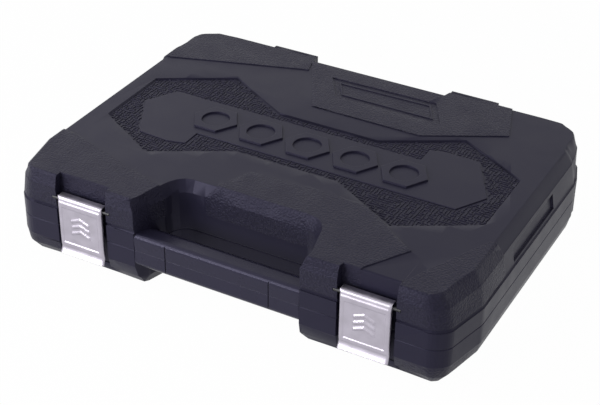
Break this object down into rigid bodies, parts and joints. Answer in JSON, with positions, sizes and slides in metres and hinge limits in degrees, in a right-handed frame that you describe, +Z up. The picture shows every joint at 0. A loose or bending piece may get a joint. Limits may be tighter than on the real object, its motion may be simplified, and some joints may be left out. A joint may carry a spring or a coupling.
{
  "type": "socket wrench set in case",
  "caption": "Moulded carrying case with a fold-out lid, two steel flap latches and a finger-gap handle, holding ratchets, sockets, bars, joints and bits in a fitted tray.",
  "frame": {"origin": "centre of the footprint, on the surface that the closed case lies on", "axes": "+X along the front, -Y towards the carrying handle, +Z up through the lid"},
  "size_m": [0.39, 0.288, 0.082],
  "materials": {
    "case_plastic": "leather-grained matte blow-moulded plastic",
    "tray_plastic": "satin moulded plastic",
    "latch_nickel": "nickel-plated stamped steel",
    "spring_steel": "plain spring steel",
    "tool_chrome": "satin chrome plate",
    "bit_steel": "sand-blasted hardened steel",
    "grip_rubber": "matte soft grip",
    "selector_black": "black lever",
    "key_black": "black oxide"
  },
  "bodies": {
    "case_base": {"base_shell": "case_plastic", "base_handle_half": "case_plastic", "base_tray": "tray_plastic", "hinge_pins": "spring_steel", "large_ratchet_body": "tool_chrome", "large_ratchet_grip": "grip_rubber", "large_ratchet_cover": "tool_chrome", "large_ratchet_pawl": "tool_chrome", "small_ratchet_body": "tool_chrome", "small_ratchet_grip": "grip_rubber", "small_ratchet_cover": "tool_chrome", "small_ratchet_pawl": "tool_chrome", "half_inch_sockets_18_to_32": "tool_chrome", "half_inch_sockets_10_to_17": "tool_chrome", "quarter_inch_sockets_4_to_7": "tool_chrome", "quarter_inch_sockets_8_to_12": "tool_chrome", "quarter_inch_sockets_13_14": "tool_chrome", "deep_sockets_6_to_13": "tool_chrome", "star_sockets_e4_to_e8": "tool_chrome", "bit_sockets": "bit_steel", "screwdriver_bits_8mm": "bit_steel", "spark_plug_socket_16": "tool_chrome", "spark_plug_socket_21": "tool_chrome", "bit_holder": "tool_chrome", "drive_adapter": "tool_chrome", "extension_bar_250": "tool_chrome", "extension_bar_125": "tool_chrome", "extension_bar_100": "tool_chrome", "extension_bar_50": "tool_chrome", "large_universal_joint_input": "tool_chrome", "large_universal_joint_cross": "tool_chrome", "small_universal_joint_input": "tool_chrome", "small_universal_joint_cross": "tool_chrome", "sliding_t_bar": "tool_chrome", "spinner_shank": "tool_chrome", "spinner_grip": "grip_rubber", "hex_keys": "key_black"},
    "lid": {"lid_shell": "case_plastic", "lid_handle_half": "case_plastic", "lid_liner": "tray_plastic", "lid_liner_rim": "tray_plastic", "latch_pin_left": "key_black", "latch_pin_right": "key_black"},
    "latch_left": {"latch_plate_left": "latch_nickel", "latch_catch_left": "spring_steel"},
    "latch_right": {"latch_plate_right": "latch_nickel", "latch_catch_right": "spring_steel"},
    "large_selector": {"large_ratchet_selector": "selector_black"},
    "large_drive": {"large_ratchet_drive": "tool_chrome"},
    "large_button": {"large_ratchet_button": "tool_chrome"},
    "small_selector": {"small_ratchet_selector": "selector_black"},
    "small_drive": {"small_ratchet_drive": "tool_chrome"},
    "small_button": {"small_ratchet_button": "tool_chrome"},
    "t_bar_slider": {"t_bar_slider": "tool_chrome"},
    "large_joint_output": {"large_universal_joint_output": "tool_chrome"},
    "small_joint_output": {"small_universal_joint_output": "tool_chrome"}
  },
  "joints": [
    {"name": "lid_hinge", "type": "hinge", "parent": "case_base", "child": "lid", "pos_m": [0, 0.1405, 0.0375], "axis": [-1, 0, 0], "range_deg": [0, 110]},
    {"name": "latch_left_pivot", "type": "hinge", "parent": "lid", "child": "latch_left", "pos_m": [-0.1234, -0.1385, 0.0625], "axis": [-1, 0, 0], "range_deg": [0, 105]},
    {"name": "latch_right_pivot", "type": "hinge", "parent": "lid", "child": "latch_right", "pos_m": [0.1234, -0.1385, 0.0625], "axis": [-1, 0, 0], "range_deg": [0, 105]},
    {"name": "large_selector_turn", "type": "hinge", "parent": "case_base", "child": "large_selector", "pos_m": [-0.1388, 0.108, 0.023], "axis": [0, 0, 1], "range_deg": [-20, 20]},
    {"name": "large_drive_spin", "type": "hinge", "parent": "case_base", "child": "large_drive", "pos_m": [-0.156, 0.108, 0.023], "axis": [0, 0, 1], "continuous": true},
    {"name": "large_button_press", "type": "slide", "parent": "large_drive", "child": "large_button", "axis": [0, 0, -1], "range_m": [0, 0.0015], "stiffness_N_per_m": 400},
    {"name": "small_selector_turn", "type": "hinge", "parent": "case_base", "child": "small_selector", "pos_m": [-0.05368, -0.074, 0.027], "axis": [0, 0, 1], "range_deg": [-20, 20]},
    {"name": "small_drive_spin", "type": "hinge", "parent": "case_base", "child": "small_drive", "pos_m": [-0.064, -0.074, 0.027], "axis": [0, 0, 1], "continuous": true},
    {"name": "small_button_press", "type": "slide", "parent": "small_drive", "child": "small_button", "axis": [0, 0, -1], "range_m": [0, 0.001], "stiffness_N_per_m": 250},
    {"name": "t_bar_slide", "type": "slide", "parent": "case_base", "child": "t_bar_slider", "axis": [1, 0, 0], "range_m": [-0.045, 0.046]},
    {"name": "large_joint_bend", "type": "hinge", "parent": "case_base", "child": "large_joint_output", "pos_m": [0.112, 0.1165, 0.0329], "axis": [0, -1, 0], "range_deg": [0, 40]},
    {"name": "small_joint_bend", "type": "hinge", "parent": "case_base", "child": "small_joint_output", "pos_m": [-0.118, -0.0595, 0.0342], "axis": [0, -1, 0], "range_deg": [0, 40]}
  ]
}
